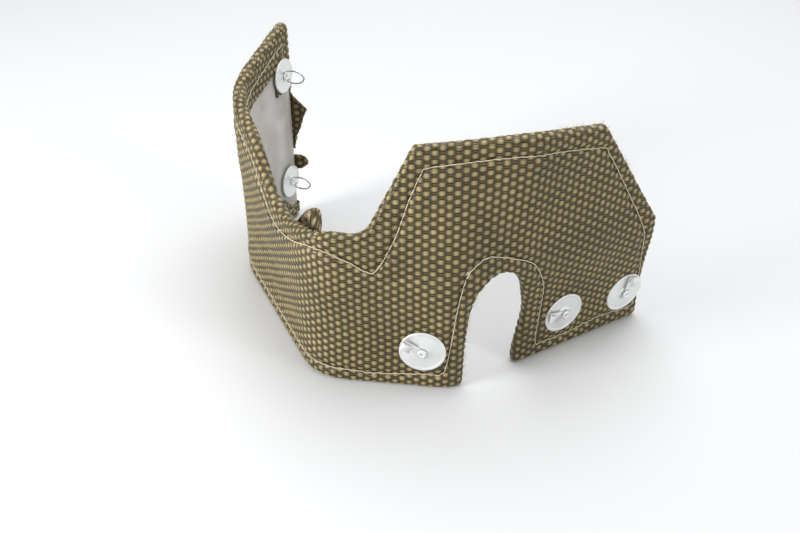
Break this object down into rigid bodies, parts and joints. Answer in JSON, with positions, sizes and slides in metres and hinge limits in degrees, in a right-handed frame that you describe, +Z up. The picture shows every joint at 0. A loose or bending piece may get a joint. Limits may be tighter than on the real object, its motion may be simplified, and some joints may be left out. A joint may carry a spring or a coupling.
{
  "type": "turbo heat blanket",
  "caption": "Curved woven heat blanket for a turbocharger housing, with an arched pipe opening and riveted lacing anchors.",
  "frame": {"origin": "centre of the blanket's box, on the surface that its lower edge stands on", "axes": "+Z up along the wall's height, +X along the length of the opened C, -Y the way the front panel faces"},
  "size_m": [0.2848, 0.2336, 0.1723],
  "materials": {
    "woven_cloth": "coarse weave of golden brown basalt yarn, slightly glossy",
    "fill_wool": "needled white fibre mat",
    "liner_cloth": "fine pale grey silica cloth",
    "zinc_steel": "satin plated sheet steel",
    "spring_wire": "drawn stainless wire"
  },
  "bodies": {
    "root": {"outer_cover": "woven_cloth", "fill_mat": "fill_wool", "inner_liner": "liner_cloth", "front_washer": "zinc_steel", "front_backing_washer": "zinc_steel", "front_rivet": "zinc_steel", "front_strip_hook": "zinc_steel", "arch_washer": "zinc_steel", "arch_backing_washer": "zinc_steel", "arch_rivet": "zinc_steel", "arch_strip_hook": "zinc_steel", "end_washer": "zinc_steel", "end_backing_washer": "zinc_steel", "end_rivet": "zinc_steel", "end_strip_hook": "zinc_steel", "far_top_washer": "zinc_steel", "far_top_backing_washer": "zinc_steel", "far_top_rivet": "zinc_steel", "far_top_wire_loop": "spring_wire", "far_low_washer": "zinc_steel", "far_low_backing_washer": "zinc_steel", "far_low_rivet": "zinc_steel", "far_low_wire_loop": "spring_wire"}
  },
  "joints": []
}
